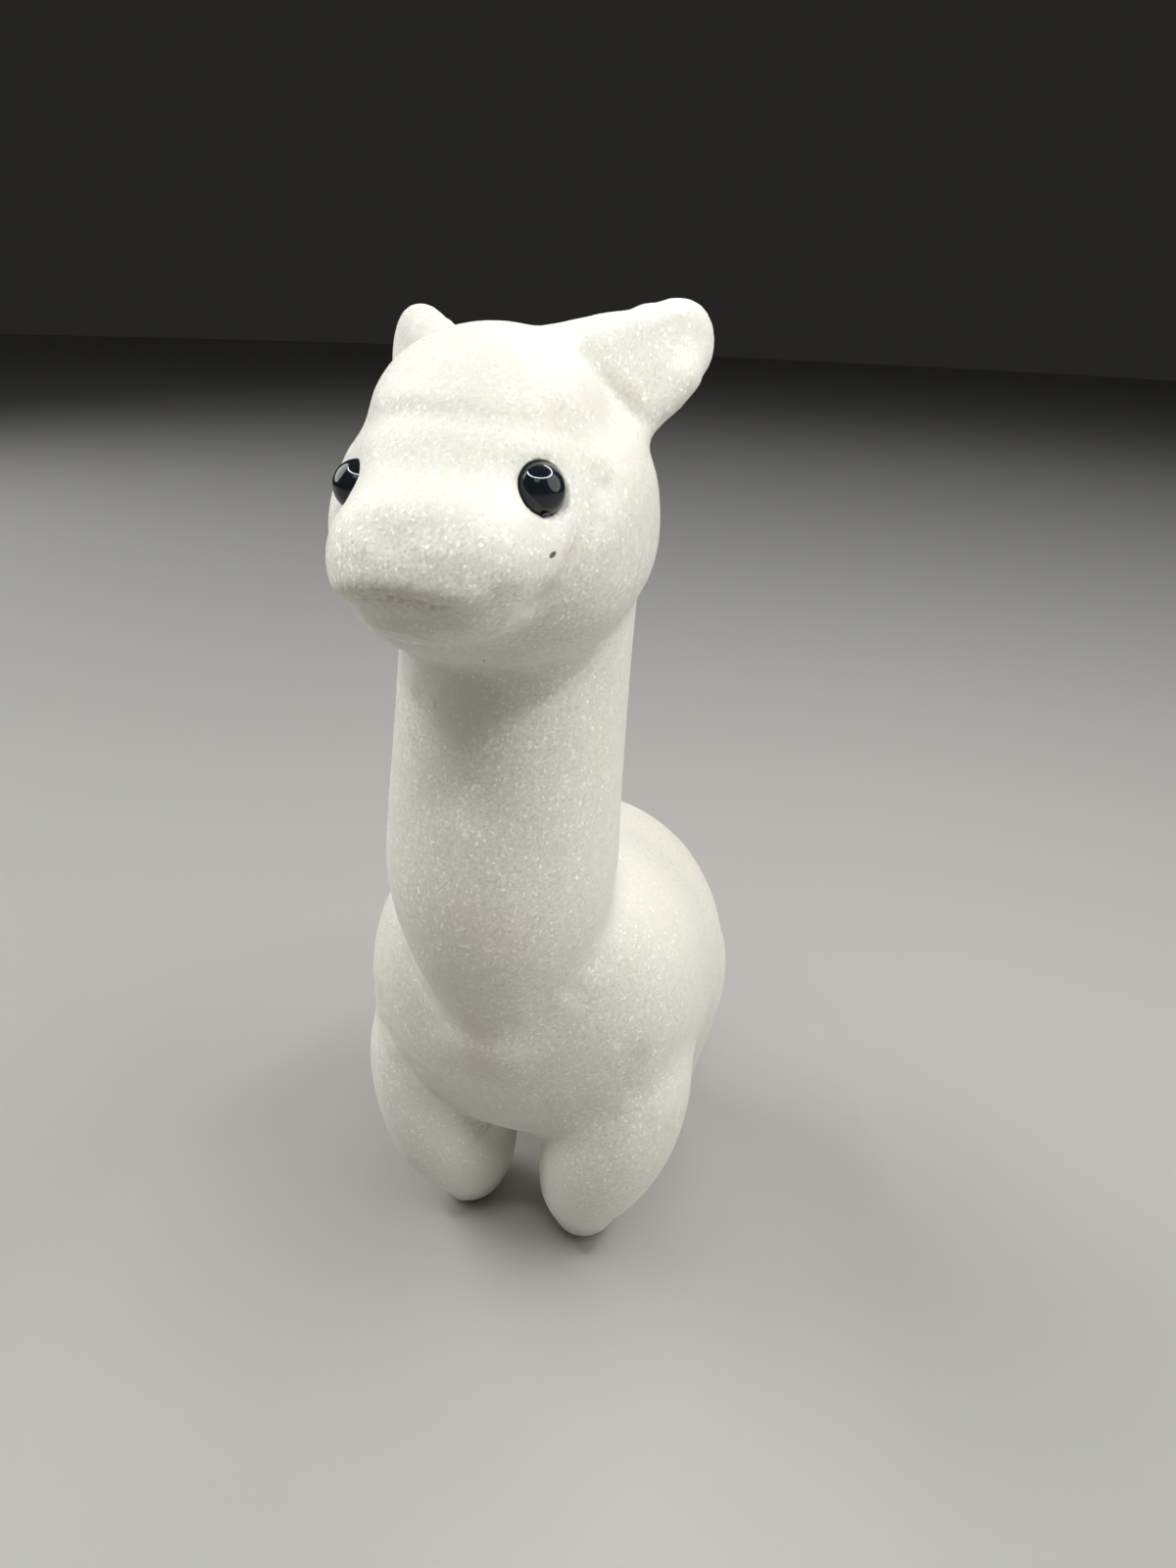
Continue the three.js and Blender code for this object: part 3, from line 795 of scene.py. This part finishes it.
# Brown grime, which also serves as painted shade under the lip and under the chest's edge
GRIME_AND_SHADE = (0.30, 0.25, 0.185, 1)
GRIME_SPOTS = 0.55
SHADE_AND_GRIME_FILM = 0.22
FLECK = (0.10, 0.10, 0.085, 1)
FLECKS = [
    {"at": (10.97, -28.38, 105.7), "turn": (0, 35, 0), "half": (0.22, 0.6, 0.42)},
    {"at": (2.0, -24.1, 94.1), "turn": (0, 0, 0), "half": (0.14, 0.3, 0.14)},
]
STONE_ROUGHNESS = 0.5
SPARKLE_ROUGHNESS = 0.2
CRYSTAL_TILT = 0.25
SUGAR_STRENGTH = 0.35
SUGAR_DEPTH = 0.05 * MM
GLOW_SHARE = 0.12
GLOW_RADIUS = (1.0, 0.85, 0.65)
GLOW_DEPTH = 0.8 * MM
STONE_IOR = 1.5


def grain_colour(tree, coordinates, crystal_tone, sugar, glinting_crystal):
    """Pale crystals, duller in the hollows of the grain, warmer in faint clouds, and a few lightened as
    painted glints.
    """
    clumps = noise_value(tree, coordinates, CLUMP_SCALE, 3.0, 0.6)
    clouds = noise_value(tree, coordinates, CLOUD_SCALE, 3.0)
    colour = mix_colour(tree, crystal_tone, DULL_CRYSTAL, PALE_CRYSTAL)
    colour = mix_colour(tree, between(tree, sugar, 0.25, 0.75), SUGAR_HOLLOW, colour)
    colour = mix_colour(tree, between(tree, clumps, 0.3, 0.7), CLUMP_HOLLOW, colour)
    cloudy = arithmetic(tree, "MULTIPLY", between(tree, clouds, 0.45, 0.75), CLOUD_STRENGTH)
    colour = mix_colour(tree, cloudy, colour, CLOUD)
    return mix_colour(tree, arithmetic(tree, "MULTIPLY", glinting_crystal, PAINTED_GLINT_STRENGTH), colour, PAINTED_GLINT)


def tinted(tree, colour):
    for tint in TINTS:
        share = arithmetic(tree, "MULTIPLY", kept_share(tree, tint["name"]), tint["strength"])
        colour = mix_colour(tree, share, colour, tint["colour"])
    return colour


def grimed_and_shaded(tree, coordinates, colour):
    """Grime as small spots over a thin film. The film also paints the shade under the lip and under the
    chest's edge.
    """
    share = kept_share(tree, "grime_and_shade")
    mottle = noise_value(tree, coordinates, GRIME_SCALE, 4.0, 0.65)
    spots = arithmetic(tree, "MULTIPLY", share, between(tree, mottle, 0.38, 0.62), clamp=True)
    spots = arithmetic(tree, "MULTIPLY", spots, GRIME_SPOTS)
    grime_and_shade_amount = arithmetic(tree, "ADD", spots, arithmetic(tree, "MULTIPLY", share, SHADE_AND_GRIME_FILM))
    return mix_colour(tree, grime_and_shade_amount, colour, GRIME_AND_SHADE)


def fleck_share(tree, coordinates, fleck):
    """1 inside a small dark fleck of the stone, which is a flat lens, and 0 outside."""
    lens = node(tree, "ShaderNodeMapping", {"vector_type": "TEXTURE"}, Vector=coordinates)
    lens.inputs["Location"].default_value = head_place(*fleck["at"])
    lens.inputs["Rotation"].default_value = [math.radians(angle) for angle in fleck["turn"]]
    lens.inputs["Scale"].default_value = [half * MM for half in fleck["half"]]
    away = node(tree, "ShaderNodeVectorMath", {"operation": "LENGTH"}, i0=lens.outputs[0])
    return arithmetic(tree, "SUBTRACT", 1.0, between(tree, away.outputs["Value"], 0.7, 1.1))


def grain_normal(tree, crystal_colour, sugar):
    """Each crystal faces its own way, a little off the skin's way, under a fine sugary bump."""
    face_way = node(tree, "ShaderNodeNewGeometry").outputs["Normal"]
    tilt = vector_arithmetic(tree, "SUBTRACT", crystal_colour, (0.5, 0.5, 0.5))
    tilt = vector_arithmetic(tree, "SCALE", tilt, Scale=CRYSTAL_TILT)
    crystal_way = vector_arithmetic(tree, "NORMALIZE", vector_arithmetic(tree, "ADD", face_way, tilt))
    inputs = {"Height": sugar, "Normal": crystal_way, "Strength": SUGAR_STRENGTH, "Distance": SUGAR_DEPTH}
    return node(tree, "ShaderNodeBump", **inputs).outputs["Normal"]


def stone_material():
    material, tree, shader = new_material("white_stone")
    coordinates = object_coordinates(tree)
    crystals = node(tree, "ShaderNodeTexVoronoi", Vector=coordinates, Scale=CRYSTAL_SCALE)
    crystal = node(tree, "ShaderNodeSeparateColor", Color=crystals.outputs["Color"])
    sugar = noise_value(tree, coordinates, SUGAR_SCALE, 2.0, 0.6)
    # A few crystals are smoother, and their colour is also lightened as a painted glint
    glinting_crystal = between(tree, crystal.outputs["Blue"], 0.94, 0.96)

    colour = grain_colour(tree, coordinates, crystal.outputs["Red"], sugar, glinting_crystal)
    colour = grimed_and_shaded(tree, coordinates, tinted(tree, colour))
    for fleck in FLECKS:
        colour = mix_colour(tree, fleck_share(tree, coordinates, fleck), colour, FLECK)
    tree.links.new(colour, shader.inputs["Base Color"])
    rough = spread(tree, glinting_crystal, STONE_ROUGHNESS, SPARKLE_ROUGHNESS)
    tree.links.new(rough, shader.inputs["Roughness"])
    tree.links.new(grain_normal(tree, crystals.outputs["Color"], sugar), shader.inputs["Normal"])

    shader.inputs["Subsurface Weight"].default_value = GLOW_SHARE
    shader.inputs["Subsurface Radius"].default_value = GLOW_RADIUS
    shader.inputs["Subsurface Scale"].default_value = GLOW_DEPTH
    shader.inputs["IOR"].default_value = STONE_IOR
    return material


# Glass

DUST_SCALE = 900
GLASS_ROUGHNESS = (0.03, 0.07)
DEEP_GLASS = (0.006, 0.009, 0.014, 1)
DUSTY_GLASS = (0.012, 0.016, 0.022, 1)
GLASS_IOR = 1.52


def bead_material():
    material, tree, shader = new_material("eye_glass")
    dust = noise_value(tree, object_coordinates(tree), DUST_SCALE, 3.0)
    tree.links.new(spread(tree, dust, *GLASS_ROUGHNESS), shader.inputs["Roughness"])
    tree.links.new(mix_colour(tree, dust, DEEP_GLASS, DUSTY_GLASS), shader.inputs["Base Color"])
    shader.inputs["IOR"].default_value = GLASS_IOR
    return material


make_camera()
make_floor()
make_lights()

stone, outwards = make_stone()
stone.data.materials.append(stone_material())

glass = bead_material()
pieces = [make_bead(name, outwards[name]) for name in EYES]
# A small black drop at the lower edge of the left bead
pieces.append(make_dark_drop("left_eye", outwards["left_eye"]))
for piece in pieces:
    piece.data.materials.append(glass)
